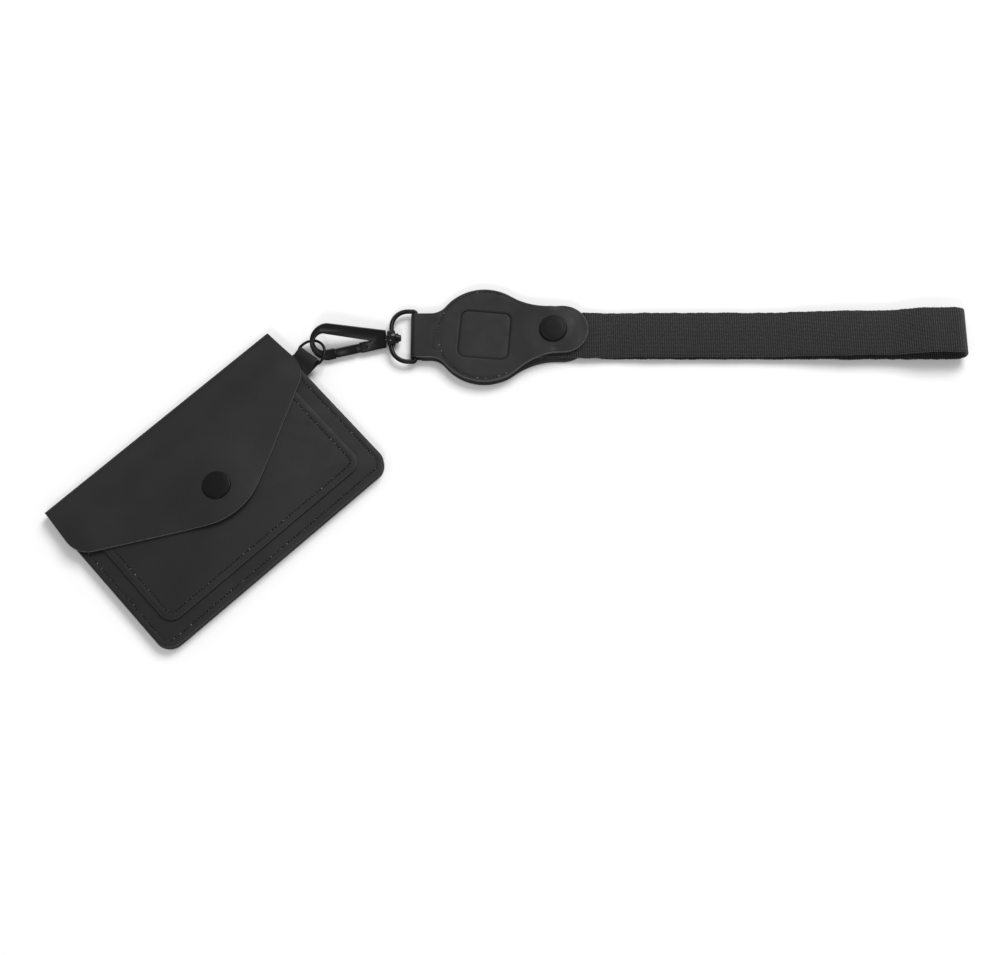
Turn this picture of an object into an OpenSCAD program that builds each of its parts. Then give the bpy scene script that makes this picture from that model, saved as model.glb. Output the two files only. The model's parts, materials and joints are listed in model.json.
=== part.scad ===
// Leather card pouch with an envelope flap, a swivel snap hook, a round tracker holder
// and a webbing wrist loop. Everything lies flat, +X runs along the strap, +Z is up and
// the origin is the centre of the pouch's back face.

/* [Pouch] */
// Width of the pouch along its fold
pouch_w = 120; // [110:1:130]
// Height of the pouch from its fold to its bottom edge
pouch_h = 81; // [76:1:88]
// Radius of the pouch's two bottom corners
pouch_corner = 7; // [3:0.5:10]
// Thickness of the leather panels
leather_t = 1.2; // [1:0.1:1.4]
// Thickness of the divider and of each welt
lining_t = 0.7; // [0.5:0.1:0.9]
// Angle of the pouch's fold to the strap
pouch_turn = 42.4; // [30:0.2:60]

/* [Front pocket] */
// Width of the front pocket
pocket_w = 103.4; // [96:0.2:106]
// Distance from the pouch's centre down to the pocket's lower edge
pocket_drop = 32.5; // [30:0.5:35]
// Thickness of the pocket's leather
pocket_t = 1.1; // [0.9:0.1:1.3]

/* [Flap] */
// Half width of the flap at its slanted corners
flap_half_w = 59.4; // [54:0.2:59.8]
// Distance from the pouch's centre down to the flap's tip
flap_drop = 13.9; // [10:0.1:20]
// Radius of the flap's tip
flap_tip_r = 28; // [20:1:36]
// Slope of the flap's two lower edges
flap_slope = 29; // [25:0.5:33]
// Rise of the closed flap from its fold towards its tip
flap_tilt = 3.3; // [3:0.1:4]

/* [Snaps] */
// Diameter of the snap caps
cap_d = 12; // [10:0.2:13]
// Height of the snap caps
cap_h = 1.0; // [0.8:0.1:1.4]

/* [Hardware] */
// Diameter of the D-ring's wire
ring_wire = 1.2; // [1:0.1:1.3]
// Half length of the D-ring's straight bar
ring_half = 6.5; // [6.3:0.1:6.8]
// Length of the hook from the swivel to the outside of its bow
hook_len = 35; // [34:0.5:36]
// Thickness of the hook
hook_t = 2.3; // [2:0.1:2.4]
// Diameter of the swivel eye's wire
eye_wire = 2; // [1.8:0.1:2.2]
// Height of the swivel eye over its wire
eye_h = 25.4; // [24.6:0.2:26]

/* [Holder] */
// Diameter of the round tracker holder
holder_d = 42.8; // [40:0.2:46]
// Side of the holder's rounded-square window
window_w = 21.5; // [18:0.5:24]
// Diameter of the tracker that fits the pocket
tracker_d = 32; // [30:0.5:33]

/* [Strap] */
// Width of the webbing
strap_w = 20; // [18:0.5:20]
// Thickness of one layer of webbing
strap_t = 1.05; // [0.9:0.05:1.1]
// Distance from the eye's bar to the end of the wrist loop
strap_len = 236.5; // [200:0.5:280]
// Height of the open end of the wrist loop
loop_h = 9.6; // [8:0.2:12]

/* [Hidden] */

$fn = 64;
eps = 0.01;

// heights of the pouch's layers
welt_z = leather_t;
divider_z = welt_z + lining_t;
upper_welt_z = divider_z + lining_t;
front_z = upper_welt_z + lining_t;
pocket_z = front_z + leather_t;
pocket_top = pocket_z + pocket_t;

// the fold: its axis is the flap's hinge, and the rolled edge stays inside the flap's swing
fold_r = 3.0;
fold_y = pouch_h / 2 - fold_r;
bead_r = 1.7;
flap_end_gap = 0.25;
panel_top = fold_y - 2.2;
welt_w = 5;

// seams and stitches
seam_inset = 2.8;
stitch_pitch = 3;
stitch_len = 2.1;
stitch_w = 0.5;
stitch_h = 0.25;

// the front pocket reaches up under the flap
pocket_rise = 20;
pocket_corner = 6;
pocket_inset = 3.1;

// snaps
flange_r = 5;
flange_t = 0.3;
stud_r = 1.8;
stud_top = 1.1;
socket_hole_r = 2.3;
socket_t = 0.7;
washer_r = 3.5;
washer_t = 0.3;
post_r = 1.2;

// the D-ring in its tab, in the pouch's own frame
ring_pos = [66.2, 20.2, 3.8];
ring_yaw = 5;
ring_twist = -16;
ring_lift = -7;
ring_leg = 1.4;
ring_r = ring_wire / 2;
tab_w = 11.4;
tab_t = 1.8;
tab_eye_r = 1.6;
tab_bore_r = ring_r + 0.08;
tab_root_x = 56;
tab_gap = 0.4;

// the hook, drawn along -X from the swivel
hook_yaw = 4.7;
hook_pitch = 4;
hook_roll = 33;
hook_z = 3.5;
eye_depth = 10.4;
eye_offset = 1.2;
hook_pos = [-eye_depth * cos(hook_pitch), -eye_offset, hook_z];
bow_r = 8;
bow_x = bow_r - hook_len;
base_half = 3.7;
base_x = -2.2;
hole_tip_x = -9;
hole_tip_y = -0.4;
hole_r = 3.7;
hole_x = -29.1;
gate_root = [-11.2, -3];
gate_tip = [-24.2, -5.2];
gate_half = 1.9;
gate_leaf_t = 1.1;
gate_slot_t = 1.3;
gate_gap = 0.4;
gate_end_gap = 0.5;
gate_cheek_r = 3.6;
gate_pin_r = 0.55;
spring_wire_r = 0.14;

// the swivel
boss_r = 3.6;
boss_len = 3.6;
post_bore_r = 1.35;
swivel_post_r = 1.3;
swivel_head_r = 2.2;
shoulder_r = 1.9;
shoulder_half_t = 0.2;
shank_r = 0.7;
shank_len = 3.6;
eye_r = eye_wire / 2;
eye_half = eye_h / 2 - eye_r;
eye_bend = 7.2;

// the strap's frame: its origin is the middle of the eye's bar, seen from above
strap_pos = [81, 69.25, 0];
bar_z = hook_z - eye_depth * sin(hook_pitch);
neck_w = 20.4;
neck_t = 1.0;
neck_bore_r = eye_r + 0.08;
neck_eye_r = neck_bore_r + neck_t;
neck_end = 13;
neck_cover = 2.6;

// heights of the holder's layers
holder_back_t = 1.3;
rim_t = 2.4;
front_t = 1.3;
holder_front_z = holder_back_t + rim_t;
holder_top = holder_front_z + front_t;

// outline of the holder
holder_r = holder_d / 2;
holder_x = 29.6;
neck_fillet = 8;
tail_fillet = 30;
tail_half = 10.8;
tail_x = 63.6;
front_skew = 4.5;
tracker_gap = 0.9;
rim_inner_r = tracker_d / 2 + tracker_gap;
lining_side = window_w + 3;
lining_sheet_t = 0.5;
window_r = 3.2;
window_turn = -5;
recess_gap = 0.1;

// the tongue lifts about a line on the front's top face
tongue_x = 43.4;
tongue_gap = 0.15;
tongue_tilt = 4.4;
snap_reach = 29.7;
snap_pos = [holder_x + snap_reach * cos(front_skew), snap_reach * sin(front_skew)];

// the strap lies in the pocket's mouth and opens into a loop at its far end
strap_y = 0.5;
strap_start = 45.5;
strap_low_z = holder_back_t;
strap_gap = 0.05;
strap_top = strap_low_z + 2 * strap_t + strap_gap;
drop_start = 75;
drop_end = 87;
loop_start = strap_len - 96;
loop_full = strap_len - 31;
run_end = strap_len - loop_h / 2;

// ---- frames -------------------------------------------------------------------

module in_pouch() {
    rotate([0, 0, pouch_turn])
        children();
}

module in_ring() {
    in_pouch()
        translate(ring_pos)
            rotate([0, 0, ring_yaw])
                rotate([ring_twist, 0, 0])
                    rotate([0, ring_lift, 0])
                        children();
}

module in_strap() {
    translate(strap_pos)
        children();
}

module in_hook() {
    in_strap()
        translate(hook_pos)
            rotate([hook_roll, hook_pitch, hook_yaw])
                children();
}

module in_eye() {
    in_strap()
        translate(hook_pos)
            rotate([0, hook_pitch, 0])
                children();
}

module in_flap() {
    in_pouch()
        translate([0, fold_y, fold_r])
            rotate([-flap_tilt, 0, 0])
                children();
}

module in_tongue() {
    in_strap()
        translate([tongue_x, 0, holder_top])
            rotate([0, -tongue_tilt, 0])
                children();
}

// ---- shapes used more than once -------------------------------------------------

// a slab whose two lower corners are round
module panel_outline(half_w, low_y, high_y, corner) {
    translate([-half_w + corner, low_y])
        square([2 * (half_w - corner), high_y - low_y]);
    translate([-half_w, low_y + corner])
        square([2 * half_w, high_y - low_y - corner]);
    for (side = [-1, 1])
        translate([side * (half_w - corner), low_y + corner])
            circle(r = corner);
}

module slab(z, t) {
    translate([0, 0, z])
        linear_extrude(height = t)
            children();
}

// one stitch, lying along X
module stitch() {
    translate([-stitch_len / 2, -stitch_w / 2, 0])
        cube([stitch_len, stitch_w, stitch_h]);
}

// stitches along a straight seam from a to b
module stitch_line(a, b) {
    run = norm(b - a);
    count = floor(run / stitch_pitch);
    turn = atan2(b[1] - a[1], b[0] - a[0]);
    for (i = [0 : count - 1])
        translate(a + (b - a) * ((i + 0.5) / count))
            rotate([0, 0, turn])
                stitch();
}

// stitches along an arc about c, from angle a0 to a1
module stitch_arc(c, r, a0, a1) {
    count = max(1, round(r * abs(a1 - a0) * PI / 180 / stitch_pitch));
    for (i = [0 : count - 1]) {
        angle = a0 + (a1 - a0) * (i + 0.5) / count;
        translate(c)
            rotate([0, 0, angle])
                translate([r, 0])
                    rotate([0, 0, 90])
                        stitch();
    }
}

// stitches round three sides of a panel with two round lower corners
module stitch_panel(half_w, low_y, high_y, corner) {
    stitch_line([-half_w, high_y], [-half_w, low_y + corner]);
    stitch_arc([-half_w + corner, low_y + corner], corner, 180, 270);
    stitch_line([-half_w + corner, low_y], [half_w - corner, low_y]);
    stitch_arc([half_w - corner, low_y + corner], corner, 270, 360);
    stitch_line([half_w, low_y + corner], [half_w, high_y]);
}

// snap cap with a rounded rim, standing on z = 0, its post through leather t thick
module snap_cap(t) {
    rim = 0.45;
    translate([0, 0, -t])
        cylinder(r = post_r, h = t);
    rotate_extrude()
        union() {
            square([cap_d / 2 - rim, cap_h]);
            square([cap_d / 2, cap_h - rim]);
            translate([cap_d / 2 - rim, cap_h - rim])
                circle(r = rim);
        }
}

// snap socket hanging below z = 0
module snap_socket() {
    translate([0, 0, -socket_t])
        difference() {
            cylinder(r = flange_r, h = socket_t);
            translate([0, 0, -eps])
                cylinder(r = socket_hole_r, h = socket_t + 2 * eps);
        }
}

// snap stud standing on z = 0
module snap_stud() {
    cylinder(r = flange_r, h = flange_t);
    cylinder(r = stud_r, h = stud_top);
}

// a straight neck along +X on a disc centred on the origin, with arcs in its inner corners
module neck(disc_r, neck_half, fillet, neck_x) {
    touch_x = sqrt(pow(disc_r + fillet, 2) - pow(neck_half + fillet, 2));
    // the arcs leave the disc here, and the neck's outline starts a little inside it
    leave = 0.98 * disc_r / (disc_r + fillet);
    root = leave * [touch_x, neck_half + fillet];
    difference() {
        polygon([[0, -root[1]], [root[0], -root[1]], [touch_x, -neck_half],
                 [neck_x, -neck_half], [neck_x, neck_half], [touch_x, neck_half],
                 root, [0, root[1]]]);
        for (end = [-1, 1])
            translate([touch_x, end * (neck_half + fillet)])
                circle(r = fillet, $fn = 128);
    }
}

// the holder's outline: a disc, its neck towards the swivel eye and its tail, which
// may be turned a little to one side
module holder_outline(tail_turn) {
    tail_len = tail_x - holder_x;
    translate([holder_x, 0]) {
        circle(r = holder_r, $fn = 128);
        rotate([0, 0, 180])
            neck(holder_r, neck_w / 2, neck_fillet, holder_x - neck_cover);
        rotate([0, 0, tail_turn]) {
            neck(holder_r, tail_half, tail_fillet, tail_len);
            translate([tail_len, 0])
                circle(r = tail_half);
        }
    }
}

// ---- pouch ------------------------------------------------------------------------

module tab_slot() {
    translate([tab_root_x - tab_gap, ring_pos[1] - tab_w / 2 - tab_gap])
        square([pouch_w / 2 - tab_root_x + 1, tab_w + 2 * tab_gap]);
}

module pouch_outline(top) {
    panel_outline(pouch_w / 2, -pouch_h / 2, top, pouch_corner);
}

module back_panel() {
    web_w = 1;
    color("#333435")
        in_pouch() {
            slab(0, leather_t)
                pouch_outline(fold_y);
            // rolled fold, which the flap swings round
            translate([-pouch_w / 2, fold_y, fold_r])
                rotate([0, 90, 0])
                    cylinder(r = bead_r, h = pouch_w);
            translate([-pouch_w / 2, fold_y - web_w, leather_t - eps])
                cube([pouch_w, web_w, fold_r - leather_t]);
        }
}

module card_divider() {
    color("#2f3031")
        in_pouch()
            slab(divider_z, lining_t)
                difference() {
                    pouch_outline(panel_top - 4);
                    tab_slot();
                }
}

module welt() {
    difference() {
        pouch_outline(panel_top);
        panel_outline(pouch_w / 2 - welt_w, -pouch_h / 2 + welt_w, panel_top + 1,
                      pouch_corner - 3);
        tab_slot();
    }
}

module seam_welts() {
    color("#2b2c2d")
        in_pouch()
            for (z = [welt_z, upper_welt_z])
                slab(z, lining_t)
                    welt();
}

module front_panel() {
    color("#363738")
        in_pouch()
            slab(front_z, leather_t)
                pouch_outline(panel_top);
}

module front_pocket() {
    recess = 0.45;
    color("#353637")
        in_pouch()
            difference() {
                slab(pocket_z, pocket_t)
                    panel_outline(pocket_w / 2, -pocket_drop, pocket_rise, pocket_corner);
                // room for a card and for the stud's washer
                slab(pocket_z - 1, 1 + recess)
                    panel_outline(pocket_w / 2 - 2 * pocket_inset,
                                  -pocket_drop + 2 * pocket_inset, pocket_rise + 1, 2);
                translate([0, 0, pocket_z])
                    cylinder(r = post_r, h = 2 * pocket_t);
            }
}

module pouch_stitching() {
    color("#1c1c1d")
        in_pouch()
            translate([0, 0, pocket_z])
                stitch_panel(pouch_w / 2 - seam_inset, -pouch_h / 2 + seam_inset,
                             panel_top - 1, pouch_corner - seam_inset);
}

module pocket_stitching() {
    end_gap = 3.5;
    color("#1c1c1d")
        in_pouch()
            translate([0, 0, pocket_top])
                stitch_panel(pocket_w / 2 - pocket_inset, -pocket_drop + pocket_inset,
                             pocket_rise - end_gap, pocket_corner - pocket_inset);
}

module ring_tab() {
    leaf_x = 61.5;
    leaf_z = leather_t + 0.15;
    wrap = 0.1;
    color("#323334")
        difference() {
            union() {
                // the two leaves, sewn between the panels
                in_pouch()
                    translate([tab_root_x, ring_pos[1] - tab_w / 2, leaf_z])
                        cube([leaf_x - tab_root_x, tab_w, tab_t]);
                // they twist and wrap round the bar
                hull() {
                    in_pouch()
                        translate([pouch_w / 2 + tab_gap, ring_pos[1], leaf_z + tab_t / 2])
                            cube([wrap, tab_w - wrap, tab_t - wrap], center = true);
                    in_ring()
                        rotate([90, 0, 0])
                            cylinder(r = tab_eye_r, h = tab_w, center = true, $fn = 32);
                }
            }
            in_ring()
                rotate([90, 0, 0])
                    cylinder(r = tab_bore_r, h = 2 * tab_w, center = true);
        }
}

module pouch_stud() {
    color("#202021")
        in_pouch()
            translate([0, 0, pocket_top])
                snap_stud();
}

module pouch_stud_rivet() {
    rivet_len = pocket_t - 0.05;
    color("#202021")
        in_pouch()
            translate([0, 0, pocket_top - rivet_len]) {
                cylinder(r = washer_r, h = washer_t);
                cylinder(r = post_r, h = rivet_len);
            }
}

// ---- flap ---------------------------------------------------------------------------

// the flap's outline, with y measured from the fold's axis
module flap_outline() {
    corner = 12;
    tip_y = -fold_y - flap_drop;
    tip_centre = tip_y + flap_tip_r;
    touch_x = flap_tip_r * sin(flap_slope);
    touch_y = tip_centre - flap_tip_r * cos(flap_slope);
    side_y = touch_y + (flap_half_w - touch_x) * tan(flap_slope);
    // the corner's circle touches the side and the slanted edge
    reach = corner * tan((90 - flap_slope) / 2);
    corner_y = side_y + reach;
    slant_x = flap_half_w - reach * cos(flap_slope);
    slant_y = side_y - reach * sin(flap_slope);
    polygon([[-flap_half_w, -flap_end_gap], [-flap_half_w, corner_y],
             [-flap_half_w + corner, corner_y], [-slant_x, slant_y], [-touch_x, touch_y],
             [0, tip_centre], [touch_x, touch_y], [slant_x, slant_y],
             [flap_half_w - corner, corner_y], [flap_half_w, corner_y],
             [flap_half_w, -flap_end_gap]]);
    intersection() {
        translate([0, tip_centre])
            circle(r = flap_tip_r, $fn = 128);
        translate([-touch_x, tip_y - 1])
            square([2 * touch_x, 1 + flap_tip_r]);
    }
    for (side = [-1, 1])
        translate([side * (flap_half_w - corner), corner_y])
            circle(r = corner);
}

module flap() {
    color("#303132")
        in_flap()
            slab(fold_r - leather_t, leather_t)
                difference() {
                    flap_outline();
                    translate([0, -fold_y])
                        circle(r = post_r);
                }
}

module flap_cap() {
    color("#1e1e1f")
        in_flap()
            translate([0, -fold_y, fold_r])
                snap_cap(leather_t);
}

module flap_socket() {
    color("#202021")
        in_flap()
            translate([0, -fold_y, fold_r - leather_t])
                snap_socket();
}

// ---- D-ring, hook and swivel eye -----------------------------------------------------

module rod(a, b, r) {
    run = norm(b - a);
    turn = atan2(b[1] - a[1], b[0] - a[0]);
    translate(a)
        rotate([0, 90, turn])
            cylinder(r = r, h = run);
}

// a quarter or half ring of wire in the XY plane
module wire_arc(c, bend_r, wire_r, a0, span) {
    translate(c)
        rotate([0, 0, a0])
            rotate_extrude(angle = span)
                translate([bend_r, 0])
                    circle(r = wire_r, $fn = 32);
}

module pouch_ring() {
    color("#232324")
        in_ring() {
            rod([0, -ring_half, 0], [0, ring_half, 0], ring_r);
            for (side = [-1, 1]) {
                translate([0, side * ring_half, 0])
                    sphere(r = ring_r, $fn = 32);
                rod([0, side * ring_half, 0], [ring_leg, side * ring_half, 0], ring_r);
            }
            wire_arc([ring_leg, 0, 0], ring_half, ring_r, -90, 180);
        }
}

module hook_outline() {
    side_angle = 2.5;
    side_x = bow_x - bow_r * sin(side_angle);
    side_half = bow_r * cos(side_angle);
    difference() {
        union() {
            translate([bow_x, 0])
                circle(r = bow_r, $fn = 128);
            polygon([[bow_x, 0], [side_x, side_half], [base_x, base_half],
                     [base_x, -base_half], [side_x, -side_half]]);
        }
        // the wedge-shaped hole, round at its wide end
        translate([hole_x, 0])
            circle(r = hole_r);
        polygon([[hole_x, hole_r], [hole_tip_x, hole_tip_y], [hole_x, -hole_r]]);
    }
}

// the gate's outline, from its root round the pin to its tip at the nose
module gate_outline(side_gap, end_gap) {
    along = gate_tip - gate_root;
    turn = atan2(along[1], along[0]);
    translate(gate_root)
        circle(r = gate_half + side_gap);
    translate(gate_root)
        rotate([0, 0, turn])
            translate([0, -gate_half - side_gap])
                square([norm(along) + end_gap, 2 * (gate_half + side_gap)]);
}

// the same, without the part between the base's two cheeks
module gate_arm(side_gap, end_gap, cheek_r) {
    difference() {
        gate_outline(side_gap, end_gap);
        translate(gate_root)
            circle(r = cheek_r);
    }
}

module hook_frame() {
    color("#1f1f20")
        in_hook()
            difference() {
                union() {
                    slab(-hook_t / 2, hook_t)
                        hook_outline();
                    // round shoulder that faces the swivel's boss
                    translate([base_x - shoulder_half_t, 0, 0])
                        rotate([0, 90, 0])
                            cylinder(r = shoulder_r, h = 2 * shoulder_half_t);
                }
                // room for the gate: right through beyond the cheeks, a slot between them
                slab(-hook_t, 2 * hook_t)
                    gate_arm(gate_gap, gate_end_gap, gate_cheek_r);
                slab(-gate_slot_t / 2, gate_slot_t)
                    gate_outline(gate_gap, gate_end_gap);
                translate([gate_root[0], gate_root[1], -hook_t])
                    cylinder(r = gate_pin_r, h = 2 * hook_t);
                translate([base_x - shank_len, 0, 0])
                    rotate([0, 90, 0])
                        cylinder(r = shank_r, h = shank_len + 2 * shoulder_half_t);
            }
}

module gate() {
    cavity_r = 1.15;
    cavity_t = 0.7;
    pin_gap = 0.06;
    color("#1d1d1e")
        in_hook()
            difference() {
                union() {
                    slab(-gate_leaf_t / 2, gate_leaf_t)
                        gate_outline(0, 0);
                    slab(-hook_t / 2, hook_t)
                        gate_arm(0, 0, gate_cheek_r + gate_gap);
                }
                // bore for the pin and the room for its spring
                translate([gate_root[0], gate_root[1], -hook_t])
                    cylinder(r = gate_pin_r + pin_gap, h = 2 * hook_t);
                translate([gate_root[0], gate_root[1], -cavity_t / 2])
                    cylinder(r = cavity_r, h = cavity_t);
            }
}

module gate_pin() {
    pin_len = hook_t + 0.2;
    color("#2a2a2b")
        in_hook()
            translate([gate_root[0], gate_root[1], -pin_len / 2])
                cylinder(r = gate_pin_r, h = pin_len);
}

module gate_spring() {
    coil_r = 0.85;
    coil_z = 0.18;
    color("#8a8b8d")
        in_hook()
            for (z = [-coil_z, coil_z])
                translate([gate_root[0], gate_root[1], z])
                    rotate_extrude()
                        translate([coil_r, 0])
                            circle(r = spring_wire_r, $fn = 16);
}

// a shank in the hook's base, a post through the eye's boss and a stepped head
module swivel_rivet() {
    post_x = base_x + shoulder_half_t;
    head_x = boss_len / 2 + 0.1;
    head_t = 1.2;
    step_r = 1.6;
    color("#262627")
        in_hook()
            rotate([0, 90, 0]) {
                translate([0, 0, base_x - shank_len])
                    cylinder(r = shank_r, h = shank_len + shoulder_half_t);
                translate([0, 0, post_x])
                    cylinder(r = swivel_post_r, h = head_x - post_x + eps);
                translate([0, 0, head_x])
                    cylinder(r = swivel_head_r, h = head_t);
                translate([0, 0, head_x])
                    cylinder(r = step_r, h = 2 * head_t);
            }
}

module swivel_eye() {
    color("#212122")
        difference() {
            union() {
                in_hook()
                    rotate([0, 90, 0])
                        cylinder(r = boss_r, h = boss_len, center = true);
                in_eye()
                    translate([0, eye_offset, 0]) {
                        rod([0, eye_bend - eye_half, 0], [0, eye_half - eye_bend, 0], eye_r);
                        for (side = [-1, 1]) {
                            wire_arc([eye_bend, side * (eye_half - eye_bend), 0], eye_bend,
                                     eye_r, side > 0 ? 90 : 180, 90);
                            rod([eye_bend, side * eye_half, 0],
                                [eye_depth, side * eye_half, 0], eye_r);
                            translate([eye_depth, side * eye_half, 0])
                                sphere(r = eye_r, $fn = 32);
                        }
                        rod([eye_depth, -eye_half, 0], [eye_depth, eye_half, 0], eye_r);
                    }
            }
            in_hook()
                rotate([0, 90, 0])
                    cylinder(r = post_bore_r, h = 2 * boss_len, center = true);
        }
}

// ---- tracker holder --------------------------------------------------------------------

module holder_back() {
    color("#2c2d2e")
        in_strap()
            difference() {
                slab(0, holder_back_t)
                    holder_outline(0);
                // seat for the stud's washer, and its post's hole
                translate([snap_pos[0], snap_pos[1], -eps])
                    cylinder(r = washer_r, h = washer_t + eps);
                translate([snap_pos[0], snap_pos[1], 0])
                    cylinder(r = post_r, h = 2 * holder_back_t);
            }
}

// a strip folded round the eye's bar, its two ends sewn between the holder's leathers
module neck_loop() {
    fold_gap = 0.2;
    color("#323334")
        in_strap()
            difference() {
                union() {
                    translate([0, 0, bar_z])
                        rotate([90, 0, 0])
                            cylinder(r = neck_eye_r, h = neck_w, center = true);
                    translate([0, -neck_w / 2, holder_back_t])
                        cube([neck_end, neck_w, 2 * neck_t + fold_gap]);
                }
                translate([0, 0, bar_z])
                    rotate([90, 0, 0])
                        cylinder(r = neck_bore_r, h = 2 * neck_w, center = true);
            }
}

// two curved spacers that leave the pocket's hollow between the holder's leathers
module pocket_rim() {
    mouth_x = 12;
    gap = 0.2;
    color("#2a2b2c")
        in_strap()
            slab(holder_back_t, rim_t)
                difference() {
                    translate([holder_x, 0])
                        circle(r = holder_r, $fn = 128);
                    translate([holder_x, 0])
                        circle(r = rim_inner_r, $fn = 128);
                    // the neck strip and the pocket's mouth
                    translate([0, -neck_w / 2 - gap])
                        square([neck_end + gap, neck_w + 2 * gap]);
                    translate([holder_x + mouth_x, -holder_r])
                        square([holder_r, 2 * holder_r]);
                }
}

module rounded_square(side, r) {
    rotate([0, 0, window_turn]) {
        square([side, side - 2 * r], center = true);
        square([side - 2 * r, side], center = true);
        for (x = [-1, 1], y = [-1, 1])
            translate([x * (side / 2 - r), y * (side / 2 - r)])
                circle(r = r, $fn = 32);
    }
}

module holder_front() {
    color("#333435")
        in_strap()
            slab(holder_front_z, front_t)
                difference() {
                    holder_outline(front_skew);
                    translate([holder_x, 0])
                        rounded_square(window_w, window_r);
                    translate([tongue_x, -holder_d])
                        square([strap_len, 2 * holder_d]);
                }
}

module window_lining() {
    color("#2e2f30")
        in_strap()
            slab(holder_front_z - recess_gap - lining_sheet_t, lining_sheet_t)
                translate([holder_x, 0])
                    rounded_square(lining_side, window_r);
}

module holder_stitching() {
    stitch_r = holder_r - 1.3;
    color("#1c1c1d")
        in_strap()
            translate([holder_x, 0, holder_top])
                stitch_arc([0, 0, 0], stitch_r, 66, 294);
}

module holder_stud() {
    color("#202021")
        in_strap()
            translate([snap_pos[0], snap_pos[1], strap_top])
                snap_stud();
}

module holder_stud_rivet() {
    color("#202021")
        in_strap()
            translate([snap_pos[0], snap_pos[1], 0]) {
                cylinder(r = washer_r, h = washer_t);
                cylinder(r = post_r, h = strap_top);
            }
}

module holder_tongue() {
    color("#333435")
        in_tongue()
            slab(-front_t, front_t)
                difference() {
                    translate([-tongue_x, 0])
                        holder_outline(front_skew);
                    translate([tongue_gap - strap_len, -holder_d])
                        square([strap_len, 2 * holder_d]);
                    translate([snap_pos[0] - tongue_x, snap_pos[1]])
                        circle(r = post_r);
                }
}

module tongue_cap() {
    color("#1e1e1f")
        in_tongue()
            translate([snap_pos[0] - tongue_x, snap_pos[1], 0])
                snap_cap(front_t);
}

module tongue_socket() {
    color("#202021")
        in_tongue()
            translate([snap_pos[0] - tongue_x, snap_pos[1], -front_t])
                snap_socket();
}

// ---- wrist strap --------------------------------------------------------------------------

// smooth step from 0 at a to 1 at b
function ease(x, a, b) =
    let (t = max(0, min(1, (x - a) / (b - a))))
    t * t * (3 - 2 * t);

// underside of the lower layer: down from the holder's back leather to the table
function low_z(x) = strap_low_z * (1 - ease(x, drop_start, drop_end));

// underside of the upper layer: it lifts off the lower one towards the loop's end
function high_z(x) =
    let (shut = low_z(x) + strap_t + strap_gap)
    shut + (loop_h - strap_t - shut) * ease(x, loop_start, loop_full);

// the side view of one layer, t thick, over the given stations
module layer_profile(xs, under) {
    polygon(concat([for (i = [0 : len(xs) - 1]) [xs[i], under[i]]],
                   [for (i = [len(xs) - 1 : -1 : 0]) [xs[i], under[i] + strap_t]]));
}

module wrist_strap() {
    drop_steps = 4;
    rise_steps = 12;
    end_r = loop_h / 2;
    sewn_w = 1.5;
    xs = concat([strap_start],
                [for (i = [0 : drop_steps])
                    drop_start + (drop_end - drop_start) * i / drop_steps],
                [for (i = [0 : rise_steps])
                    loop_start + (loop_full - loop_start) * i / rise_steps],
                [run_end]);
    color("#323233")
        in_strap()
            difference() {
                translate([0, strap_y + strap_w / 2, 0])
                    rotate([90, 0, 0])
                        linear_extrude(height = strap_w) {
                            layer_profile(xs, [for (x = xs) low_z(x)]);
                            layer_profile(xs, [for (x = xs) high_z(x)]);
                            // the fold at the far end
                            difference() {
                                translate([run_end, end_r])
                                    circle(r = end_r);
                                translate([run_end, end_r])
                                    circle(r = end_r - strap_t);
                                translate([run_end - end_r - 1, -1])
                                    square([end_r + 1, loop_h + 2]);
                            }
                            // the layers are sewn together inside the holder
                            translate([strap_start, strap_low_z])
                                square([sewn_w, 2 * strap_t + strap_gap]);
                        }
                translate([snap_pos[0], snap_pos[1], 0])
                    cylinder(r = post_r, h = loop_h);
            }
}

back_panel();
card_divider();
seam_welts();
front_panel();
front_pocket();
pouch_stitching();
pocket_stitching();
ring_tab();
pouch_stud();
pouch_stud_rivet();
flap();
flap_cap();
flap_socket();
pouch_ring();
hook_frame();
gate();
gate_pin();
gate_spring();
swivel_rivet();
swivel_eye();
holder_back();
neck_loop();
pocket_rim();
holder_front();
window_lining();
holder_stitching();
holder_stud();
holder_stud_rivet();
holder_tongue();
tongue_cap();
tongue_socket();
wrist_strap();
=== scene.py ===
import json
import math

import bpy
from mathutils import Matrix, Vector, noise


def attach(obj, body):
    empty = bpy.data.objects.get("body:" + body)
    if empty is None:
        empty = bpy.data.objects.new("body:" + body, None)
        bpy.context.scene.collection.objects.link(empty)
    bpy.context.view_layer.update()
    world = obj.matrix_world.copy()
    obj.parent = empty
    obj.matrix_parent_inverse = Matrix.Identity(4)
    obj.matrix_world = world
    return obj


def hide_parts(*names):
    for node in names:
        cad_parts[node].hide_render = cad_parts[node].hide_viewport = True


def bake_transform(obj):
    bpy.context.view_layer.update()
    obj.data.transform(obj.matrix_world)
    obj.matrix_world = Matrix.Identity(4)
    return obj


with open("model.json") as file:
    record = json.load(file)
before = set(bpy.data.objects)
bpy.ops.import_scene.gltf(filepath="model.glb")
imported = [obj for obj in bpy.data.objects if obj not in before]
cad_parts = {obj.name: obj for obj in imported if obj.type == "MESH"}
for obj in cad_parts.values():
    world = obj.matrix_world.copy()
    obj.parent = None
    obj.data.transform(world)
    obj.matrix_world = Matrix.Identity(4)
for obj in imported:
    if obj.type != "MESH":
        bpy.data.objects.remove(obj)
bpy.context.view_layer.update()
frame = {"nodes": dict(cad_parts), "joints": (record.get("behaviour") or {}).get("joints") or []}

# one millimetre, in metres
MM = 0.001


# ---- camera, floor and light ----

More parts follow.
